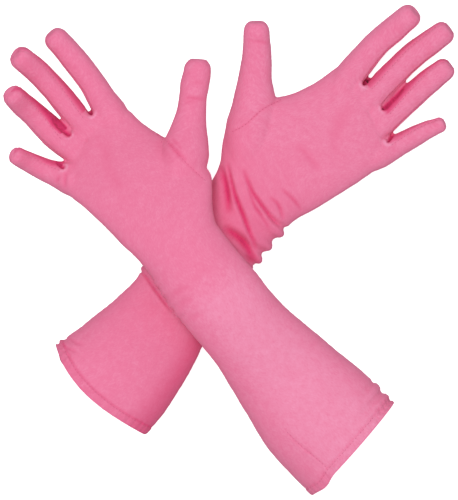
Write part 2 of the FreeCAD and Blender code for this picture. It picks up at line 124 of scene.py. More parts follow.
# A digit's station: centre x, y, z and width. The last one is the very tip.
DIGITS = {
    "right_thumb": [
        (-46.0, 46.0, 41.0, 24.0), (-40.0, 60.0, 38.5, 34.0), (-35.3, 74.0, 36.0, 38.5),
        (-33.0, 86.5, 35.0, 33.8), (-31.3, 98.0, 34.4, 27.0), (-29.5, 109.5, 34.6, 22.8),
        (-28.5, 120.0, 35.3, 21.4), (-27.1, 129.5, 36.2, 22.2), (-25.2, 138.5, 37.3, 21.4),
        (-24.2, 151.4, 38.8, 0.0)],
    "right_index": [
        (-82.0, 88.0, 20.5, 17.0), (-91.9, 106.6, 17.0, 26.2), (-100.4, 120.4, 15.2, 22.6),
        (-107.6, 132.4, 15.9, 20.5), (-116.2, 143.7, 17.8, 20.4), (-126.0, 156.0, 21.0, 20.0),
        (-133.2, 164.2, 24.3, 19.2), (-140.4, 171.7, 28.0, 0.0)],
    "right_middle": [
        (-100.0, 84.0, 20.0, 16.0), (-111.4, 96.6, 16.6, 20.4), (-120.8, 107.5, 14.3, 20.4),
        (-130.2, 119.0, 15.0, 20.4), (-139.5, 129.9, 18.8, 19.7), (-150.0, 141.0, 26.0, 19.2),
        (-158.4, 148.0, 34.6, 18.8), (-167.1, 154.6, 42.8, 0.0)],
    "right_ring": [
        (-110.0, 67.6, 21.5, 16.0), (-123.0, 80.4, 17.4, 21.0), (-134.5, 90.3, 14.9, 22.2),
        (-145.0, 100.0, 15.1, 21.5), (-154.2, 108.8, 20.0, 20.0), (-162.2, 115.8, 29.0, 18.6),
        (-166.6, 120.2, 38.0, 17.4), (-170.1, 124.5, 46.0, 0.0)],
    "right_little": [
        (-106.0, 46.0, 27.0, 18.0), (-121.0, 54.4, 22.6, 23.0), (-132.0, 60.0, 20.2, 22.0),
        (-141.0, 63.2, 20.0, 18.8), (-149.0, 66.6, 21.8, 17.2), (-157.0, 70.5, 26.5, 15.8),
        (-163.4, 73.6, 33.5, 14.4), (-168.4, 76.4, 40.6, 0.0)],
    "left_thumb": [
        (10.0, 62.0, 17.5, 24.0), (13.6, 80.0, 16.0, 36.0), (17.0, 97.0, 15.2, 40.0),
        (19.0, 111.0, 15.4, 36.2), (19.5, 123.0, 16.6, 31.8), (19.9, 135.0, 18.4, 26.2),
        (20.8, 146.0, 21.0, 24.4), (21.3, 156.5, 24.0, 22.4), (21.1, 167.5, 27.6, 20.4),
        (20.8, 181.0, 32.0, 0.0)],
    "left_index": [
        (76.0, 113.0, 14.5, 17.0), (88.2, 129.3, 13.2, 25.4), (98.1, 142.9, 12.7, 23.6),
        (107.1, 153.9, 13.0, 21.6), (116.2, 163.8, 15.2, 20.4), (127.0, 172.8, 19.2, 20.2),
        (135.8, 180.4, 24.0, 19.4), (145.9, 188.5, 30.5, 0.0)],
    "left_middle": [
        (94.0, 103.0, 14.5, 17.0), (107.8, 118.2, 13.0, 22.6), (121.2, 132.0, 12.6, 21.5),
        (133.8, 144.6, 13.5, 20.8), (145.0, 155.0, 15.5, 20.6), (155.8, 163.0, 18.4, 19.9),
        (163.4, 168.6, 20.9, 19.0), (172.8, 175.4, 24.6, 0.0)],
    "left_ring": [
        (100.0, 82.0, 14.5, 16.0), (116.7, 98.0, 13.2, 21.0), (130.4, 110.5, 12.8, 20.6),
        (141.7, 121.0, 13.7, 20.2), (151.6, 130.0, 15.4, 19.9), (159.8, 136.6, 17.6, 19.0),
        (165.6, 141.0, 19.4, 18.0), (173.6, 147.0, 22.4, 0.0)],
    "left_little": [
        (100.0, 66.5, 15.0, 16.0), (115.0, 74.8, 13.6, 21.0), (126.8, 80.8, 13.1, 19.2),
        (135.8, 85.7, 13.3, 17.6), (145.0, 90.6, 14.7, 16.6), (153.4, 94.8, 16.6, 14.8),
        (161.6, 98.2, 18.8, 12.2), (169.0, 101.2, 21.4, 0.0)],
}
TIP_LENGTH, TIP_SQUARE = 1.1, 2.5   # a rounded tip's length over its half width, and how square it is
FLATNESS = {"thumb": 0.84, "index": 0.92, "middle": 0.92, "ring": 0.92, "little": 0.92}
# Seen from above, the thumb is to the right of the right palm and to the left of the left one.
THUMB_SIGN = {"right": -1.0, "left": 1.0}
# Creases in the palm side: width, depth, and the points x, y that it runs through.
CREASES = {
    "right": [
        (1.5, 0.75, ((-127.4, 62.5), (-128.0, 56.5), (-128.6, 50.0))),
        (1.4, 0.6, ((-132.0, 60.0), (-134.0, 56.5), (-136.0, 54.0))),
        (1.3, 0.7, ((-35.0, 119.0), (-29.0, 119.4), (-23.0, 118.6), (-18.0, 118.2))),
        (1.2, 0.45, ((-36.0, 116.4), (-29.5, 116.6), (-24.0, 116.2))),
        (1.3, 0.4, ((-28.5, 131.6), (-24.0, 131.2), (-19.0, 130.2))),
        (2.2, 0.9, ((-50.0, 87.0), (-43.5, 80.5), (-38.0, 74.5), (-33.0, 70.0))),
        (1.6, 0.6, ((-46.0, 89.5), (-41.0, 84.0), (-36.5, 79.5))),
        (3.5, 0.35, ((-57.0, 86.0), (-50.0, 76.0), (-45.0, 66.0))),
        (4.0, 0.3, ((-100.0, 92.0), (-97.0, 78.0), (-92.0, 62.0), (-83.0, 46.0))),
        (2.4, 0.3, ((-41.0, -44.0), (-35.0, -38.0), (-27.0, -36.0))),
        (2.2, 0.3, ((-46.0, -36.0), (-38.0, -29.0), (-30.0, -27.0))),
        (2.4, 0.25, ((-34.0, -54.0), (-27.0, -49.0), (-18.0, -48.0))),
    ],
    "left": [
        (1.6, 2.2, ((-2.0, 70.0), (1.5, 55.0), (4.8, 43.0), (11.0, 27.3), (17.6, 10.5), (22.0, 0.5))),
        (1.5, 1.8, ((10.0, 65.0), (17.6, 47.3), (25.4, 36.1), (33.2, 26.1), (42.0, 18.0))),
        (1.3, 1.1, ((14.0, 52.0), (19.5, 36.0), (25.4, 27.3), (31.0, 17.0))),
        (1.4, 1.1, ((31.0, 43.0), (38.0, 36.5), (42.0, 25.0))),
        (1.4, 1.0, ((40.0, 49.5), (48.8, 41.7), (56.5, 31.5))),
        (3.0, 3.2, ((-6.0, 19.5), (4.0, 13.5), (13.0, 4.5), (19.0, -10.0))),
        (2.6, 2.2, ((-7.5, 68.0), (-3.6, 56.0), (-1.5, 44.0), (-1.0, 30.0))),
        (3.0, 0.5, ((70.0, 62.0), (62.0, 74.0), (52.0, 83.0))),
        (4.0, 0.3, ((96.0, 118.0), (88.0, 106.0), (82.0, 90.0), (80.0, 72.0))),
        # this fold's painted shade also stands for the shadow line under the upper glove's edge
        (1.0, 1.3, ((-69.0, -14.5), (-60.5, -26.0), (-52.0, -37.5), (-45.0, -47.0))),
        (1.2, 0.5, ((13.0, 165.5), (21.0, 163.6), (31.0, 162.0))),
        (1.3, 0.5, ((-126.5, -66.0), (-120.0, -70.0), (-113.0, -72.0))),
        (1.3, 0.7, ((-131.0, -70.5), (-125.0, -75.0), (-119.0, -77.5))),
    ],
}
# Gathers along an edge: hand, edge (thumb or little side), from rung, to rung, count, height.
GATHERS = (
    ("left", -1.0, 9.7, 12.7, 4, 2.0),
    ("left", 1.0, 0.0, 1.0, 2, 0.8),
    ("left", 1.0, 6.6, 7.5, 1, -1.6),
    ("right", 1.0, 0.0, 1.5, 3, 1.1),
    ("right", -1.0, 8.4, 11.6, 5, 0.5),
)
DIGITS_OF_HAND = ("thumb", "index", "middle", "ring", "little")
# The hollows between the fingers: x, y of the inner end, heading out to the fingertips, length and width.
CROTCHES = {
    "right": ((-108.0, 108.0, 122.0, 9.0, 1.0), (-125.8, 92.2, 136.0, 18.0, 2.0),
              (-130.0, 66.4, 140.0, 8.0, 1.2)),
    "left": ((105.2, 131.4, 50.0, 13.0, 1.0), (120.4, 112.4, 46.0, 26.0, 1.4),
             (124.2, 86.8, 58.0, 9.0, 1.0)),
}
# The cloth between two digits: distance out from the hollow's inner end, and half width.
WEB = ((-20.0, 3.0), (-16.0, 7.0), (-6.0, 7.5), (-2.5, 6.5), (-0.5, 4.0), (0.3, 1.5))
WEB_DIP = 0.6
# Seams round a digit in degrees: 0 at its thumb side, 90 on the palm side, 180 at its little side. A
# fourchette runs between two seams, each given at the digit's root and at its tip.
FOURCHETTE = {"thumb_side": ((66.0, 38.0), (-40.0, -22.0)),
              "little_side": ((150.0, 160.0), (-140.0, -158.0))}
RING_SEAM = (78.0, 40.0)   # the ring finger rolls, and shows more of its fourchette
FOURCHETTES_OF = {"index": ("little_side",), "middle": ("thumb_side", "little_side"),
                  "ring": ("thumb_side", "little_side"), "little": ("thumb_side",), "thumb": ()}
OUTER_SEAMS = {"index": (-10.0,), "little": (190.0,), "thumb": (-12.0, 192.0)}
# How dark each digit's thumb-side band is: partly the fourchette panel's own deeper colour, partly painted
# shade on the side wall.
BAND_SHADE = {"right": {"middle": 0.75, "ring": 1.2, "little": 0.8},
              "left": {"middle": 0.7, "ring": 1.05, "little": 0.6}}
# Seams that run over the palm side as dotted lines: width and depth of the groove, and the points x, y.
DOTTED = {
    "right": [
        (0.9, 0.35, ((44.0, -138.8), (53.4, -148.2), (66.7, -159.1), (76.0, -167.5))),
        (0.9, 0.4, ((-50.0, 87.5), (-34.7, 70.2), (-18.0, 54.5))),
    ],
    "left": [
        (0.9, 0.5, ((41.0, 119.4), (25.4, 110.8), (12.1, 99.1), (1.5, 93.4))),
    ],
}
OTHER_BAND, BAND_FADE = 0.25, 0.45   # how dark the painted shade of the other bands is, and how much a band fades to the tip
BAND_MARGIN = 9.0
SEAM_DEPTH, RIDGE_WIDTH = 0.35, 0.9
# A seam's ridge height, how far the ridge is from the seam, and the groove's width.
FOURCHETTE_GROOVE, SIDE_GROOVE = (0.7, 1.9, 0.9), (0.6, 1.6, 0.8)
OUTER_SEAM_SHADE = 0.3
SLEEVE_SEAMS = (-6.0, 186.0)
RIM_RADIUS, RIM_WIDTH, RIM_LIFT, RIM_HIGHLIGHT = 3.4, 1.1, 0.45, 0.3   # the rolled rim of a finger's hollow, with its painted highlight
PIT_DEPTH, PIT_SHADE = 3.0, 1.6
HEM_RIPPLES, RIPPLE_HEIGHT, EDGE_ROLL = 38.0, 0.2, 0.7
LOWEST = 0.25
SHADE_LIMITS = (-0.8, 1.2)
RADIAN = 57.3                        # degrees in a radian
CREASE_SHADE = 0.95
HIGH_ABOVE = 200.0        # where a ray down to the cloth starts
DIGIT_REACH = 1.4         # a point belongs to a digit up to this many half widths from its centre line
HEM_BAND = 7.5
# How far the cuff's edge bows out, its lean, the height of a lobe near the little side, and how dark
# the painted shade is in the groove along the turned-up band's edge.
HEM_BOW = {"right": (0.8, 0.0, 2.4, 0.1), "left": (9.0, 0.35, 0.0, 0.3)}
LOBE_AT, LOBE_WIDTH = -0.74, 0.15
THREAD, STITCH, STITCH_PITCH = 0.42, 1.6, 3.0

# ---- stage values, in metres -------------------------------------------------------------------------
FLOOR_GLOW, WORLD_GLOW = 0.8, 0.5
LIGHTS = (("key", (-0.3, 0.25, 1.7), 0.7, 14.2), ("fill", (0.9, -0.7, 1.5), 1.2, 3.8))
LENS, SENSOR = 280.0, 36.0
VIEW_CENTRE, VIEW_WIDTH = (-0.0001, -0.0006), 0.39


def spline(rows, steps):
    """Catmull-Rom through the rows, with steps points to each span."""
    p = np.array(rows, float)
    p = np.vstack([2 * p[0] - p[1], p, 2 * p[-1] - p[-2]])
    out = []
    for i in range(1, len(p) - 2):
        a, b, c, d = p[i - 1:i + 3]
        for t in np.arange(steps) / steps:
            out.append(0.5 * ((2 * b) + (c - a) * t + (2 * a - 5 * b + 4 * c - d) * t ** 2
                              + (3 * b - a - 3 * c + d) * t ** 3))
    out.append(p[-2])
    return np.array(out)


def unit(v):
    return v / np.linalg.norm(v, axis=-1, keepdims=True)


def heading(degrees):
    a = math.radians(degrees)
    return np.array((math.cos(a), math.sin(a), 0.0))


def ring(centre, across, up, power, count):
    """Points of a superellipse."""
    a = np.arange(count) * 2 * math.pi / count
    c, s = np.cos(a), np.sin(a)
    x = np.sign(c) * np.abs(c) ** (2 / power)
    y = np.sign(s) * np.abs(s) ** (2 / power)
    return centre + np.outer(x, across) + np.outer(y, up)


def skin(rings):
    """Closed mesh through the rings: points and faces."""
    count = len(rings[0])
    faces = []
    for i in range(len(rings) - 1):
        a, b = i * count, (i + 1) * count
        for k in range(count):
            n = (k + 1) % count
            faces.append((a + k, a + n, b + n, b + k))
    faces.append(tuple(reversed(range(count))))
    last = (len(rings) - 1) * count
    faces.append(tuple(last + k for k in range(count)))
    return np.vstack(rings), faces


# ---- local frames along a sleeve or a digit -------------------------------------------------------
BODY_STEPS = 5
DIGIT_STEPS = 8


class Track:
    """Cross-sections along a part: centre, unit vectors across (to the thumb side), up and ahead."""

    def __init__(self, hand, digit=None):
        self.hand, self.digit = hand, digit
        if digit is None:
            rows = spline(RUNGS[hand], BODY_STEPS)
            thumb = np.column_stack([rows[:, 0:2], np.zeros(len(rows))])
            little = np.column_stack([rows[:, 2:4], np.zeros(len(rows))])
            self.centre = (thumb + little) / 2
            self.centre[:, 2] = (rows[:, 4] + rows[:, 5]) / 2
            self.across = unit(thumb - little)
            self.half = np.linalg.norm(thumb - little, axis=1) / 2
            self.thick = (rows[:, 5] - rows[:, 4]) / 2
            self.up = np.tile((0.0, 0.0, 1.0), (len(rows), 1))
            self.ahead = np.cross(self.across, self.up) * THUMB_SIGN[hand]
        else:
            stations = np.array(DIGITS[hand + "_" + digit])
            stations[-1, 3] = stations[-2, 3]
            rows = spline(stations, DIGIT_STEPS)
            self.centre = rows[:, :3]
            self.ahead = unit(np.gradient(self.centre, axis=0))
            self.across = unit(np.cross((0, 0, 1.0), self.ahead)) * THUMB_SIGN[hand]
            self.up = unit(np.cross(self.ahead, self.across)) * THUMB_SIGN[hand]
            self.half = rows[:, 3] / 2
            self.thick = self.half * FLATNESS[digit]
        steps = np.linalg.norm(np.diff(self.centre, axis=0), axis=1)
        self.run = np.concatenate([[0], np.cumsum(steps)])

    def place(self, points):
        """For each point: row, length along, share across (-1 to 1 at the edges) and share up."""
        row = np.zeros(len(points), int)
        best = np.full(len(points), 1e9)
        for i, (c, n) in enumerate(zip(self.centre, self.ahead)):
            gap = np.abs((points - c) @ n)
            off = np.abs((points - c) @ self.across[i]) - self.half[i] * 1.6 - 4.0
            score = gap + np.clip(off, 0, None) * 3
            closer = score < best
            row[closer] = i
            best[closer] = score[closer]
        rel = points - self.centre[row]
        along = self.run[row] + (rel * self.ahead[row]).sum(1)
        x = (rel * self.across[row]).sum(1) / np.maximum(self.half[row], 1.0)
        y = (rel * self.up[row]).sum(1) / np.maximum(self.thick[row], 1.0)
        return row, along, x, y


def body_skin(track):
    """Sleeve and palm in one, run out a little past the cuff."""
    rings = []
    total = len(track.centre)
    for i in range(total):
        share = i / (total - 1)
        power = 2.0 + 0.5 * min(1.0, max(0.0, (share - 0.55) / 0.2))
        rings.append(ring(track.centre[i], track.across[i] * track.half[i],
                          track.up[i] * track.thick[i], power, 72))
    rings.insert(0, rings[0] + (rings[0] - rings[4]) * 1.3)
    return skin(rings)


def digit_skin(track):
    """Tube with a rounded tip."""
    tip = track.centre[-1]
    cap = track.half[-1] * TIP_LENGTH
    flat = FLATNESS[track.digit]
    rings = []
    for i in range(len(track.centre) - 1):
        half = track.half[i]
        left = np.linalg.norm(tip - track.centre[i])
        if left < cap:
            half *= math.sqrt(max(1 - ((cap - left) / cap) ** TIP_SQUARE, 0.002))
        rings.append(ring(track.centre[i], track.across[i] * half, track.up[i] * half * flat, 2.15, 48))
    return skin(rings)


def web_skin(hand, tracks, number):
    """The cloth between two digits, from inside the palm out to the hollow between them."""
    x, y, turn = CROTCHES[hand][number][:3]
    out = heading(turn)
    sides = [tracks[hand + "_" + digit] for digit in DIGITS_OF_HAND[number + 1:number + 3]]
    rings = []
    for run, half in WEB:
        at = np.array((x, y, 0.0)) + out * run
        rows = [np.argmin(np.hypot(*(track.centre[:, :2] - at[:2]).T)) for track in sides]
        centres = [track.centre[row, 2] for track, row in zip(sides, rows)]
        thick = np.mean([track.thick[row] for track, row in zip(sides, rows)]) - WEB_DIP
        top, low = np.mean(centres) + thick, np.mean(centres) - thick
        at[2] = (top + low) / 2
        across = np.array((out[1], -out[0], 0.0)) * half
        rings.append(ring(at, across, np.array((0, 0, top - low)) / 2, 3.0, 24))
    return skin(rings)


def new_object(name, points, faces):
    mesh = bpy.data.meshes.new(name)
    mesh.from_pydata([tuple(p) for p in points], [], faces)
    mesh.update()
    ob = bpy.data.objects.new(name, mesh)
    bpy.context.scene.collection.objects.link(ob)
    return ob


def points_of(mesh):
    co = np.empty(len(mesh.vertices) * 3)
    mesh.vertices.foreach_get("co", co)
    return co.reshape(-1, 3)


def normals_of(mesh):
    no = np.empty(len(mesh.vertices) * 3)
    mesh.vertex_normals.foreach_get("vector", no)
    return no.reshape(-1, 3)


def baked(ob):
    """The object's mesh with its modifiers applied. The object goes."""
    dg = bpy.context.evaluated_depsgraph_get()
    mesh = bpy.data.meshes.new_from_object(ob.evaluated_get(dg))
    bpy.data.objects.remove(ob)
    return mesh


def melted(hand, tracks):
    """The glove as one closed surface: sleeve, palm and digits melted together."""
    points, faces = [], []
    skins = [body_skin(track) if track.digit is None else digit_skin(track) for track in tracks.values()]
    skins += [web_skin(hand, tracks, number) for number in range(len(CROTCHES[hand]))]
    for p, f in skins:
        base = sum(len(q) for q in points)
        points.append(p)
        faces += [tuple(base + i for i in face) for face in f]
    ob = new_object(hand + "_raw", np.vstack(points), faces)
    remesh = ob.modifiers.new("melt", "REMESH")
    remesh.mode = "VOXEL"
    remesh.voxel_size = VOXEL
    smooth = ob.modifiers.new("soften", "SMOOTH")
    smooth.factor = 0.5
    smooth.iterations = int(7 / VOXEL ** 2)
    return baked(ob)


# ---- creases, gathers, seams -----------------------------------------------------------------------
def polyline_distance(xy, points):
    """Distance in plan to a polyline, the share (0 to 1) along it, and the distance signed by its side."""
    best = np.full(len(xy), 1e9)
    share = np.zeros(len(xy))
    signed = np.zeros(len(xy))
    pts = np.array(points, float)
    lengths = np.linalg.norm(np.diff(pts, axis=0), axis=1)
    start = np.concatenate([[0], np.cumsum(lengths)])
    for i in range(len(pts) - 1):
        d = pts[i + 1] - pts[i]
        t = np.clip(((xy - pts[i]) @ d) / (d @ d), 0, 1)
        rel = xy - (pts[i] + t[:, None] * d)
        dist = np.linalg.norm(rel, axis=1)
        closer = dist < best
        best[closer] = dist[closer]
        share[closer] = (start[i] + t[closer] * lengths[i]) / start[-1]
        side = d[0] * rel[:, 1] - d[1] * rel[:, 0]
        signed[closer] = np.sign(side[closer]) * dist[closer]
    return best, share, signed


def smoothstep(x):
    x = np.clip(x, 0, 1)
    return x * x * (3 - 2 * x)


def crease_lift(hand, points, normals):
    """Valleys with a soft ridge beside each, on the side that faces up: how deep in one, which sets the
    painted shade in creases and seam grooves, and the lift.
    """
    lift, deepest = np.zeros(len(points)), np.zeros(len(points))
    facing = smoothstep((normals[:, 2] + 0.15) / 0.5)
    for width, depth, line in CREASES[hand] + DOTTED[hand]:
        curve = spline([(x, y) for x, y in line], 6)
        dist, share, signed = polyline_distance(points[:, :2], curve)
        ends = np.sin(np.pi * np.clip(share, 0.0, 1.0)) ** 0.6
        ends[(share <= 0.0) | (share >= 1.0)] = 0.0
        valley = -np.exp(-(dist / width) ** 2)
        ridge = 0.45 * np.exp(-((signed - 2.1 * width) / (1.3 * width)) ** 2)
        ridge += 0.3 * np.exp(-((signed + 2.1 * width) / (1.3 * width)) ** 2)
        lift += depth * ends * facing * (valley + ridge)
        deepest = np.maximum(deepest, -valley * ends * facing * min(depth, 2.0) / 2.0)
    return deepest, lift


def gather_shift(hand, track, place):
    """Scallops of the cloth along a side seam."""
    row, along, x, y = place
    shift = np.zeros((len(x), 3))
    rung = row / BODY_STEPS + (along - track.run[row]) / 14.0
    for whose, side, first, last, count, height in GATHERS:
        if whose != hand:
            continue
        share = (rung - first) / (last - first)
        inside = smoothstep(share / 0.12) * smoothstep((1 - share) / 0.12)
        if first == 0.0:
            inside = smoothstep((1 - share) / 0.2)
        edge = smoothstep((x * side - 0.45) / 0.5)
        wave = np.cos(share * count * 2 * math.pi + 0.9 * np.sin(share * 5.0))
        wave = np.sign(wave) * np.abs(wave) ** 0.8
        shift += (track.across[row] * side) * (height * inside * edge * wave)[:, None]
        shift[:, 2] += 0.5 * height * inside * smoothstep((x * side - 0.1) / 0.7) * wave * np.clip(y, 0, 1)
    return shift


def wander(points, scale, seed):
    """Smooth noise in -1 to 1 at each point."""
    s = Vector((seed * 17.3, seed * 5.1, seed * 9.7))
    return np.array([noise.noise(Vector(p) * scale + s) for p in points])


def seams_of(digit, side):
    """The two seams of a fourchette, each an angle at the root and at the tip."""
    palm_seam, back_seam = FOURCHETTE[side]
    return (RING_SEAM if (digit, side) == ("ring", "thumb_side") else palm_seam), back_seam


def crotch_row(track, side):
    """The row of a digit's track beside the hollow that a fourchette starts from."""
    number = DIGITS_OF_HAND.index(track.digit) - (2 if side == "thumb_side" else 1)
    x, y = CROTCHES[track.hand][number][:2]
    return np.argmin(np.hypot(track.centre[:, 0] - x, track.centre[:, 1] - y))


# ---- the glove's surface ----------------------------------------------------------------------------
def digit_names(hand):
    return [name for name in DIGITS if name.startswith(hand)]


def joint_plane(name):
    """A hinge's place in this file's millimetres, and the way its seam's plane faces."""
    joint = next(j for j in frame["record"]["behaviour"]["joints"] if j["name"] == name)
    x, y, z = joint["axis"]
    return np.array(joint["pos_m"]) / MM - ORIGIN, np.array((-y, x, 0.0))


def beyond(name, points):
    """Distance beyond a hinge's plane."""
    at, facing = joint_plane(name)
    return (points - at) @ facing


def hem_bow(hand, x):
    """How far the cuff's edge bows out at a share (-1 to 1) of its width."""
    bow, lean, lobe, _ = HEM_BOW[hand]
    x = np.clip(x, -1, 1)
    return bow * (1 - x ** 2) * (1 + lean * x) + lobe * np.exp(-((x - LOBE_AT) / LOBE_WIDTH) ** 2)


def hem_run(hand, track, points):
    """Distance in from the cuff's edge, which bows outwards between the side seams."""
    rel = points - track.centre[0]
    return rel @ track.ahead[0] + hem_bow(hand, (rel @ track.across[0]) / track.half[0])


def digit_gaps(hand, tracks, points):
    """Each point's distance from each digit's centre line, in half widths."""
    gaps = np.full((len(DIGITS_OF_HAND), len(points)), 1e9)
    for gap, name in zip(gaps, digit_names(hand)):
        track = tracks[name]
        inside = np.linalg.norm(track.centre - track.centre[-1], axis=1) > track.half[-1] * 0.8
        for c, half in zip(track.centre[inside], track.half[inside]):
            np.minimum(gap, np.linalg.norm(points - c, axis=1) / half, out=gap)
    return gaps


def nearest_digit(hand, tracks, points):
    """For each point, the digit that it belongs to, or -1 for the sleeve and palm."""
    owner = np.full(len(points), -1)
    best = np.full(len(points), DIGIT_REACH)
    for number, (name, gap) in enumerate(zip(digit_names(hand), digit_gaps(hand, tracks, points))):
        mine = (gap < best) & (beyond(name + "_bend", points) > -2.0)
        owner[mine] = number
        best[mine] = gap[mine]
    return owner


def arc_gap(angle, at, radius):
    """Distance round a digit or sleeve from a seam's angle."""
    return ((angle - at + 180) % 360 - 180) * radius / RADIAN


def groove(gap, profile):
    """A seam across its width: a groove with a ridge on each side."""
    ridge, ridge_at, width = profile
    return ridge * np.exp(-((np.abs(gap) - ridge_at) / RIDGE_WIDTH) ** 2) - np.exp(-(gap / width) ** 2)


def hollow_detail(hand, points, normals):
    """The hollows between the fingers, each with a rolled rim: lift, painted shade in the hollow and a
    painted highlight on the rim.
    """
    lift, shade = np.zeros(len(points)), np.zeros(len(points))
    up = smoothstep((normals[:, 2] + 0.5) / 0.6)
    for x, y, turn, reach, width in CROTCHES[hand]:
        out = heading(turn)
        rel = points[:, :2] - (x, y)
        run = rel @ out[:2]
        off = np.hypot(rel @ (-out[1], out[0]), np.minimum(run, 0.0))
        pit = np.exp(-(off / width) ** 2) * smoothstep((reach - run) / (0.6 * reach)) * up
        from_end = np.hypot(rel[:, 0], rel[:, 1])
        rim = np.exp(-((from_end - RIM_RADIUS) / RIM_WIDTH) ** 2) * smoothstep((1.0 - run) / 3.0) * up
        lift += RIM_LIFT * rim - PIT_DEPTH * pit
        # painted shade in each hollow, and a painted highlight on its rim
        shade += PIT_SHADE * pit - RIM_HIGHLIGHT * rim
    return lift, shade


def fourchette_detail(track, side, share, angle, radius):
    """A fourchette's two seams and its band: lift and shade, before they fade at its ends. The band's shade
    is partly the panel's own deeper colour and partly painted shade on the digit's side wall.
    """
    lift, edges = np.zeros(len(share)), []
    for root_angle, tip_angle in seams_of(track.digit, side):
        gap = arc_gap(angle, root_angle + (tip_angle - root_angle) * share, radius)
        lift += SEAM_DEPTH * groove(gap, FOURCHETTE_GROOVE)
        edges.append(gap)
    inwards = 1.0 if side == "thumb_side" else -1.0
    inside = (edges[0] * inwards < 0) & (edges[1] * inwards > 0)
    strength = OTHER_BAND
    if side == "thumb_side":
        strength = BAND_SHADE[track.hand].get(track.digit, OTHER_BAND)
    depth = np.where(inside, np.minimum(np.abs(edges[0]), np.abs(edges[1])), 0)
    band = 0.6 * smoothstep(depth / 0.9) + 0.4 * smoothstep(depth / 5.0)
    return lift, strength * band * (1 - BAND_FADE * share)


def digit_detail(hand, tracks, points):
    """The seams and bands of the digits: lift, and painted shade on the bands and along the seams."""
    lift, shade = np.zeros(len(points)), np.zeros(len(points))
    gaps = digit_gaps(hand, tracks, points)
    closest = gaps.argmin(0)
    for number, name in enumerate(digit_names(hand)):
        track = tracks[name]
        where = np.where((closest == number) & (gaps[number] < DIGIT_REACH)
                         & (beyond(name + "_bend", points) > -BAND_MARGIN))[0]
        rival = np.min(np.delete(gaps[:, where], number, axis=0), axis=0)
        apart = smoothstep((rival - gaps[number, where]) / 0.25)
        row, along, x, y = track.place(points[where])
        root = track.run[np.argmin(np.abs(beyond(name + "_bend", track.centre)))]
        share = np.clip((along - root) / (track.run[-1] - root), 0, 1)
        end_fade = smoothstep((1.06 - share) / 0.1)
        angle = np.degrees(np.arctan2(y, x))
        radius = track.half[row]
        for side in FOURCHETTES_OF[track.digit]:
            start = track.run[crotch_row(track, side)]
            fade = smoothstep((along - start + 3.0) / 3.5) * end_fade
            seam, band = fourchette_detail(track, side, share, angle, radius)
            lift[where] += fade * seam
            # the band: painted shade on the side wall, with some of the panel's own deeper colour
            shade[where] += fade * apart * band
        fade = smoothstep((along - root + 3.5) / 5.0) * end_fade
        for at in OUTER_SEAMS.get(track.digit, ()):
            gap = arc_gap(angle, at, radius)
            lift[where] += fade * SEAM_DEPTH * groove(gap, SIDE_GROOVE)
            # painted shade along the seam's groove
            shade[where] += OUTER_SEAM_SHADE * fade * np.exp(-(gap / SIDE_GROOVE[2]) ** 2)
    return lift, shade


def sleeve_detail(hand, tracks, points, place):
    """The side seams, and the turned-up band at the cuff: lift, and painted shade in the groove along the
    band's edge.
    """
    row, along, x, y = place
    body = tracks["body"]
    angle = np.degrees(np.arctan2(y, x))
    on_body = nearest_digit(hand, tracks, points) < 0
    fade = on_body * smoothstep((along - 8.0) / 6.0)
    lift = np.zeros(len(points))
    for at in SLEEVE_SEAMS:
        lift += fade * SEAM_DEPTH * groove(arc_gap(angle, at, body.half[row]), SIDE_GROOVE)
    run = hem_run(hand, body, points)
    lift += 0.35 * smoothstep((HEM_BAND + 0.3 - run) / 0.6) - 0.4 * np.exp(-((run - HEM_BAND) / 0.8) ** 2)
    ripples = np.cos(angle / RADIAN * HEM_RIPPLES + wander(points, 1 / 30.0, 5.0) * 2)
    lift += RIPPLE_HEIGHT * ripples * smoothstep((14.0 - run) / 10.0)
    lift -= EDGE_ROLL * np.exp(-(run / 0.9) ** 2)
    # painted shade in the groove at the inner edge of the turned-up band
    return lift, HEM_BOW[hand][3] * np.exp(-((run - HEM_BAND) / 0.9) ** 2)


def shaped(hand, tracks, mesh):
    """The surface with all its detail: points, how deep in shade each one is, and the knit's place."""
    points, normals = points_of(mesh), normals_of(mesh)
    body = tracks["body"]
    place = body.place(points)
    row, along, x, y = place
    valley, lift = crease_lift(hand, points, normals)
    # painted shade in the creases and seam grooves, by how deep each one is
    shade = CREASE_SHADE * valley
    lift += 0.35 * wander(points, 1 / 16.0, 1.0) + 0.12 * wander(points, 1 / 5.0, 2.0)
    for more_lift, more_shade in (hollow_detail(hand, points, normals), digit_detail(hand, tracks, points),
                                  sleeve_detail(hand, tracks, points, place)):
        lift += more_lift
        shade += more_shade
    moved = points + normals * lift[:, None] + gather_shift(hand, body, place)
    moved[:, 2] = np.maximum(moved[:, 2], LOWEST)
    # painted light and shadow over whole regions of each glove
    shade += PAINTED_LIGHT_OF_HAND[hand](points, x)
    round_it = np.degrees(np.arctan2(y, x)) * body.half[row] / RADIAN
    knit = np.column_stack([round_it, along, points[:, 2]])
    return moved, np.clip(shade, *SHADE_LIMITS), knit


def right_painted_light(points, x):
    """The upper glove: painted light makes its sleeve paler than its palm, most of all along the middle,
    with more painted shade towards its sides; part of the paleness is the knit stretched thin.
    """
    sleeve = smoothstep((-10.0 - beyond("right_wrist_bend", points)) / 40.0)
    return sleeve * (0.16 * smoothstep((np.abs(x - 0.1) - 0.35) / 0.6) - 0.2)


def left_painted_shadow(points, x):
    """The lower glove: painted shadow of the upper glove, deepest where it comes out from under the upper
    one and along its little side under the upper glove's edge; a little paler towards the fingers.
    """
    run = beyond("left_wrist_bend", points)
    # painted shadow where the upper glove lies across, and along the little side under its edge
    near = np.exp(-((run - 2.0) / 30.0) ** 2)
    little_side = smoothstep((-0.45 - x) / 0.5) * smoothstep((-20.0 - run) / 20.0)
    return 0.16 * near + 0.5 * little_side - 0.05 * smoothstep((run - 45.0) / 30.0)


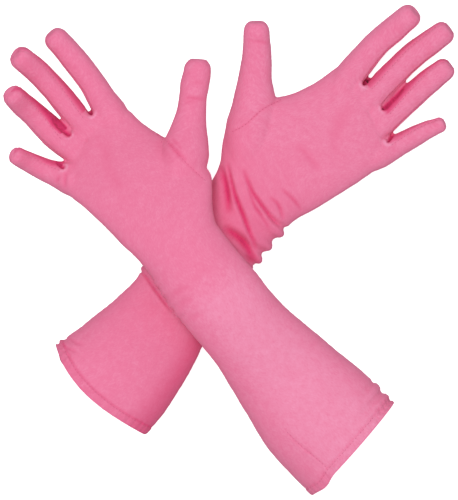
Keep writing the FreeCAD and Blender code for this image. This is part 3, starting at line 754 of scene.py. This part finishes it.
PAINTED_LIGHT_OF_HAND = {"right": right_painted_light, "left": left_painted_shadow}


def set_points(mesh, points):
    mesh.vertices.foreach_set("co", points.ravel())
    mesh.update()


def store(mesh, name, kind, values):
    attribute = mesh.attributes.new(name, kind, "POINT")
    attribute.data.foreach_set("vector" if kind == "FLOAT_VECTOR" else "value",
                               np.asarray(values, np.float32).ravel())


def recall(mesh, name, width):
    values = np.empty(len(mesh.vertices) * width, np.float32)
    mesh.attributes[name].data.foreach_get("vector" if width == 3 else "value", values)
    return values.reshape(-1, width) if width == 3 else values


def cut_cuff(hand, track, mesh):
    """Take off what is beyond the cuff's edge."""
    flat = track.ahead[0]
    points = points_of(mesh)
    base = (points - track.centre[0]) @ flat
    set_points(mesh, points + flat * (hem_run(hand, track, points) - base)[:, None])
    bm = bmesh.new()
    bm.from_mesh(mesh)
    bmesh.ops.bisect_plane(bm, geom=bm.verts[:] + bm.edges[:] + bm.faces[:], dist=0.02,
                           plane_co=track.centre[0], plane_no=-flat, clear_outer=True)
    bm.to_mesh(mesh)
    bm.free()
    points = points_of(mesh)
    base = (points - track.centre[0]) @ flat
    set_points(mesh, points - flat * (hem_run(hand, track, points) - base)[:, None])


def shell_piece(name, skin_mesh, picked, thickness):
    """An object of cloth with a real thickness from the picked faces of the glove's surface."""
    points = points_of(skin_mesh)
    faces = [tuple(p.vertices) for p in skin_mesh.polygons]
    faces = [faces[i] for i in np.where(picked)[0]]
    used = np.unique(np.concatenate([np.array(f) for f in faces]))
    index = np.full(len(points), -1)
    index[used] = np.arange(len(used))
    outer = [tuple(int(index[v]) for v in f) for f in faces]
    count = len(used)
    normals = recall(skin_mesh, "true_normal", 3)[used]
    inner = [tuple(count + v for v in reversed(f)) for f in outer]
    edges = {(f[k - 1], f[k]) for f in outer for k in range(len(f))}
    rim = [(b, a, count + a, count + b) for a, b in edges if (b, a) not in edges]
    both = np.vstack([points[used], points[used] - normals * thickness])
    ob = new_object(name, (both + ORIGIN) * MM, outer + inner + rim)
    mesh = ob.data
    for p in mesh.polygons:
        p.use_smooth = True
    store(mesh, "shade", "FLOAT", np.tile(recall(skin_mesh, "shade", 1)[used], 2))
    store(mesh, "knit", "FLOAT_VECTOR", np.tile(recall(skin_mesh, "knit", 3)[used], (2, 1)))
    both_normals = unit(np.vstack([normals, -normals]))
    mesh.normals_split_custom_set_from_vertices([tuple(n) for n in both_normals])
    return ob


def bend_over(ob):
    """Bakes the piece's placing into its mesh."""
    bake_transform(ob)


def nodes_of(start):
    return [name for name in CAD_NODES if name.startswith(start)]


def make_glove(hand, knit, hem_knit, thread):
    """One glove: its surface, split into the sleeve and palm, the hem and the digits, and its stitches."""
    tracks = {"body": Track(hand)}
    for name in digit_names(hand):
        tracks[name] = Track(hand, name.split("_")[1])
    mesh = melted(hand, tracks)
    moved, shade, wales = shaped(hand, tracks, mesh)
    set_points(mesh, moved)
    store(mesh, "shade", "FLOAT", shade)
    store(mesh, "knit", "FLOAT_VECTOR", wales)
    store(mesh, "true_normal", "FLOAT_VECTOR", normals_of(mesh))
    cut_cuff(hand, tracks["body"], mesh)
    points = points_of(mesh)
    owner = nearest_digit(hand, tracks, points)
    run = hem_run(hand, tracks["body"], points)
    face_owner = np.empty(len(mesh.polygons), int)
    in_hem = np.empty(len(mesh.polygons), bool)
    for i, p in enumerate(mesh.polygons):
        owners = owner[list(p.vertices)]
        face_owner[i] = owners[0] if (owners == owners[0]).all() else -1
        in_hem[i] = run[list(p.vertices)].max() < HEM_BAND + 0.5
    tree = BVHTree.FromPolygons([tuple(p) for p in points], [tuple(p.vertices) for p in mesh.polygons])
    body = shell_piece(hand + "_sleeve_and_palm", mesh, (face_owner < 0) & ~in_hem, CLOTH)
    bend_over(body)
    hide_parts(*nodes_of(hand + "_sleeve"), *nodes_of(hand + "_hand"))
    body.data.materials.append(knit)
    hem = shell_piece(hand + "_hem", mesh, in_hem, 2 * CLOTH)
    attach(hem, hand + "_sleeve")
    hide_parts(hand + "_cuff_hem")
    hem.data.materials.append(hem_knit)
    for number, name in enumerate(digit_names(hand)):
        digit = shell_piece(name, mesh, face_owner == number, CLOTH)
        bend_over(digit)
        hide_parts(*nodes_of(name + "_"))
        digit.data.materials.append(knit)
        make_stitches(name, tracks[name], tree, thread)
    make_hem_stitches(hand, tracks["body"], tree, thread)
    make_dotted_seams(hand, tracks, tree, thread)
    print(hand, len(mesh.vertices), "points in the surface")


# ---- stitches ---------------------------------------------------------------------------------------
def stitch_mesh(name, places):
    """Short rods, each from one point to another, a little proud of the cloth."""
    points, faces = [], []
    for start, end, normal in places:
        ahead = unit(end - start)
        side = unit(np.cross(normal, ahead))
        base = len(points)
        for along, narrow in ((0.0, 0.35), (0.2, 1.0), (0.8, 1.0), (1.0, 0.35)):
            where = start * (1 - along) + end * along
            for k in range(6):
                a = k * math.pi / 3
                points.append(where + (side * math.cos(a) + normal * math.sin(a)) * THREAD / 2 * narrow)
        for level in range(3):
            for k in range(6):
                n = (k + 1) % 6
                faces.append((base + level * 6 + k, base + level * 6 + n, base + level * 6 + 6 + n,
                              base + level * 6 + 6 + k))
        faces.append(tuple(base + k for k in reversed(range(6))))
        faces.append(tuple(base + 18 + k for k in range(6)))
    ob = new_object(name, (np.array(points) + ORIGIN) * MM, faces)
    for p in ob.data.polygons:
        p.use_smooth = True
    return ob


def along_line(points, tree):
    """Stitches along a line of points near the cloth."""
    pts = np.array(points)
    steps = np.linalg.norm(np.diff(pts, axis=0), axis=1)
    run = np.concatenate([[0], np.cumsum(steps)])
    places = []
    at = 0.6
    while at + STITCH < run[-1]:
        ends = []
        for s in (at, at + STITCH):
            p = np.array([np.interp(s, run, pts[:, k]) for k in range(3)])
            hit, normal, _, _ = tree.find_nearest(Vector(p))
            ends.append((np.array(hit), np.array(normal)))
        sink = THREAD * 0.12
        if np.linalg.norm(ends[1][0] - ends[0][0]) > STITCH / 2:
            places.append((ends[0][0] - ends[0][1] * sink, ends[1][0] - ends[1][1] * sink, ends[0][1]))
        at += STITCH_PITCH
    return places


def make_stitches(name, track, tree, thread):
    """Stitches along a digit's seams."""
    digit = track.digit
    root = np.argmin(np.abs(beyond(name + "_bend", track.centre))) + 1
    places = []
    seams = []
    for side in FOURCHETTES_OF[digit]:
        seams += [(crotch_row(track, side), pair) for pair in seams_of(digit, side)]
    seams += [(root, (angle, angle)) for angle in OUTER_SEAMS.get(digit, ())]
    for first, (root_angle, tip_angle) in seams:
        line = []
        for i in range(first, len(track.centre) - 5):
            share = (track.run[i] - track.run[root]) / (track.run[-1] - track.run[root])
            a = math.radians(root_angle + (tip_angle - root_angle) * share)
            line.append(track.centre[i] + track.across[i] * math.cos(a) * track.half[i]
                        + track.up[i] * math.sin(a) * track.thick[i])
        places += along_line(line, tree)
    ob = stitch_mesh(name + "_stitches", places)
    bend_over(ob)
    finish_stitches(ob, thread)


def make_hem_stitches(hand, track, tree, thread):
    """A row of stitches round the cuff, at the inner edge of the turned-up band."""
    line = []
    for k in range(73):
        a = math.radians(k * 5.0)
        x, y = math.cos(a), math.sin(a)
        inwards = HEM_BAND - 1.2 - hem_bow(hand, x)
        line.append(track.centre[0] + track.across[0] * x * track.half[0] + track.up[0] * y * track.thick[0]
                    + track.ahead[0] * inwards)
    ob = stitch_mesh(hand + "_hem_stitches", along_line(line, tree))
    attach(ob, hand + "_sleeve")
    finish_stitches(ob, thread)


def make_dotted_seams(hand, tracks, tree, thread):
    """Stitches along the seams that run over the palm side, grouped and named by the piece each is sewn
    through.
    """
    places = []
    for _, _, seam in DOTTED[hand]:
        line = []
        for x, y in spline(seam, 6):
            hit, _, _, _ = tree.ray_cast(Vector((x, y, HIGH_ABOVE)), Vector((0.0, 0.0, -1.0)))
            line.append(np.array(hit))
        places += along_line(line, tree)
    owner = nearest_digit(hand, tracks, np.array([start for start, _, _ in places]))
    for number in sorted(set(owner)):
        mine = [place for place, digit in zip(places, owner) if digit == number]
        if number < 0:
            ob = stitch_mesh(hand + "_seam_stitches", mine)
            bend_over(ob)
        else:
            name = digit_names(hand)[number]
            ob = stitch_mesh(name + "_seam_stitches", mine)
            bend_over(ob)
        finish_stitches(ob, thread)


def finish_stitches(ob, thread):
    ob.data.materials.append(thread)


# ---- materials --------------------------------------------------------------------------------------
def srgb(r, g, b):
    """Linear colour of an everyday 0 to 255 colour."""
    out = []
    for v in (r, g, b):
        v /= 255.0
        out.append(v / 12.92 if v <= 0.04045 else ((v + 0.055) / 1.055) ** 2.4)
    return (*out, 1.0)


def cloth_material(name, shading_stops, bump):
    """Stretch knit: fine wales with a soft mottle; the shade attribute paints shade in its folds, hollows
    and seams, and painted light where it is paler.
    """
    m = bpy.data.materials.new(name)
    m.use_nodes = True
    tree = m.node_tree
    nodes, links = tree.nodes, tree.links
    shader = nodes["Principled BSDF"]

    def node(kind, **values):
        made = nodes.new(kind)
        for key, value in values.items():
            if key in made.inputs:
                made.inputs[key].default_value = value
            else:
                setattr(made, key, value)
        return made

    knit = node("ShaderNodeAttribute", attribute_name="knit")
    shade = node("ShaderNodeAttribute", attribute_name="shade")
    wales = node("ShaderNodeMapping")
    wales.inputs["Scale"].default_value = (1.0, 0.32, 0.6)
    links.new(knit.outputs["Vector"], wales.inputs["Vector"])
    grain = node("ShaderNodeTexNoise", Scale=1.25, Detail=3.0, Roughness=0.65)
    mottle = node("ShaderNodeTexNoise", Scale=0.16, Detail=4.0, Roughness=0.6)
    links.new(wales.outputs["Vector"], grain.inputs["Vector"])
    links.new(knit.outputs["Vector"], mottle.inputs["Vector"])
    ramp = node("ShaderNodeValToRGB")
    stops = ramp.color_ramp.elements
    while len(stops) < len(shading_stops):
        stops.new(0.5)
    for stop, (position, colour) in zip(stops, shading_stops):
        stop.position, stop.color = position, colour
    # the shade attribute picks the colour along the ramp, from painted light through the knit's own pink to
    # painted shade
    spread = node("ShaderNodeMath", operation="MULTIPLY_ADD")
    spread.inputs[1].default_value, spread.inputs[2].default_value = 0.4, 0.4
    links.new(shade.outputs["Fac"], spread.inputs[0])
    for texture, amount in ((grain, 0.24), (mottle, 0.14)):
        centred = node("ShaderNodeMath", operation="MULTIPLY_ADD")
        centred.inputs[1].default_value, centred.inputs[2].default_value = amount, -amount / 2
        links.new(texture.outputs["Fac"], centred.inputs[0])
        added = node("ShaderNodeMath", operation="ADD")
        links.new(spread.outputs[0], added.inputs[0])
        links.new(centred.outputs[0], added.inputs[1])
        spread = added
    links.new(spread.outputs[0], ramp.inputs["Fac"])
    links.new(ramp.outputs["Color"], shader.inputs["Base Color"])
    height = node("ShaderNodeBump", Strength=bump, Distance=0.0004)
    links.new(grain.outputs["Fac"], height.inputs["Height"])
    links.new(height.outputs["Normal"], shader.inputs["Normal"])
    shader.inputs["Roughness"].default_value = 0.82
    shader.inputs["Specular IOR Level"].default_value = 0.2
    shader.inputs["Sheen Weight"].default_value = 0.12
    shader.inputs["Sheen Roughness"].default_value = 0.5
    shader.inputs["Sheen Tint"].default_value = srgb(255, 205, 222)
    return m


def thread_material():
    m = bpy.data.materials.new("thread")
    m.use_nodes = True
    shader = m.node_tree.nodes["Principled BSDF"]
    noise_node = m.node_tree.nodes.new("ShaderNodeTexNoise")
    noise_node.inputs["Scale"].default_value = 900.0
    ramp = m.node_tree.nodes.new("ShaderNodeValToRGB")
    ramp.color_ramp.elements[0].color = srgb(196, 74, 114)
    ramp.color_ramp.elements[1].color = srgb(216, 96, 134)
    m.node_tree.links.new(noise_node.outputs["Fac"], ramp.inputs["Fac"])
    m.node_tree.links.new(ramp.outputs["Color"], shader.inputs["Base Color"])
    shader.inputs["Roughness"].default_value = 0.7
    return m


# ---- stage ------------------------------------------------------------------------------------------
def set_stage():
    scene = bpy.context.scene
    scene.view_settings.view_transform = "Standard"
    reach, drop = 3.0, -0.0005
    floor = new_object("floor", [(-reach, -reach, drop), (reach, -reach, drop), (reach, reach, drop),
                                 (-reach, reach, drop)], [(0, 1, 2, 3)])
    floor.visible_diffuse = floor.visible_glossy = False
    m = bpy.data.materials.new("floor")
    m.use_nodes = True
    shader = m.node_tree.nodes["Principled BSDF"]
    shader.inputs["Base Color"].default_value = (0.95, 0.95, 0.95, 1)
    shader.inputs["Roughness"].default_value = 1.0
    shader.inputs["Emission Color"].default_value = (1, 1, 1, 1)
    shader.inputs["Emission Strength"].default_value = FLOOR_GLOW
    floor.data.materials.append(m)
    world = bpy.data.worlds.new("studio")
    world.use_nodes = True
    world.node_tree.nodes["Background"].inputs[0].default_value = (1, 1, 1, 1)
    world.node_tree.nodes["Background"].inputs[1].default_value = WORLD_GLOW
    scene.world = world
    for name, where, size, power in LIGHTS:
        light = bpy.data.lights.new(name, "AREA")
        light.size = size
        light.energy = power
        ob = bpy.data.objects.new(name, light)
        ob.location = where
        ob.rotation_mode = "QUATERNION"
        ob.rotation_quaternion = (-Vector(where)).to_track_quat("-Z", "Y")
        scene.collection.objects.link(ob)
    camera = bpy.data.cameras.new("camera")
    camera.lens = LENS
    camera.sensor_width = SENSOR
    camera.clip_end = 20
    ob = bpy.data.objects.new("camera", camera)
    ob.location = (*VIEW_CENTRE, VIEW_WIDTH * LENS / SENSOR + 0.025)
    scene.collection.objects.link(ob)
    scene.camera = ob


# Ramp stops: painted light, painted shade and the darkest painted shade for the deepest hollows; the knit's
# own pink sits between.
LIT_PINK, SHADED_PINK, DARK_SHADE_PINK = (0.22, srgb(243, 158, 191)), (0.78, srgb(222, 62, 116)), (1.0, srgb(160, 14, 70))
KNIT = cloth_material("pink_knit", (LIT_PINK, (0.4, srgb(235, 124, 161)), SHADED_PINK, DARK_SHADE_PINK), 0.35)
HEM_KNIT = cloth_material("pink_hem_knit", (LIT_PINK, (0.4, srgb(232, 117, 155)), SHADED_PINK, DARK_SHADE_PINK), 0.45)
THREAD_LOOK = thread_material()
for side in ("right", "left"):
    make_glove(side, KNIT, HEM_KNIT, THREAD_LOOK)
set_stage()
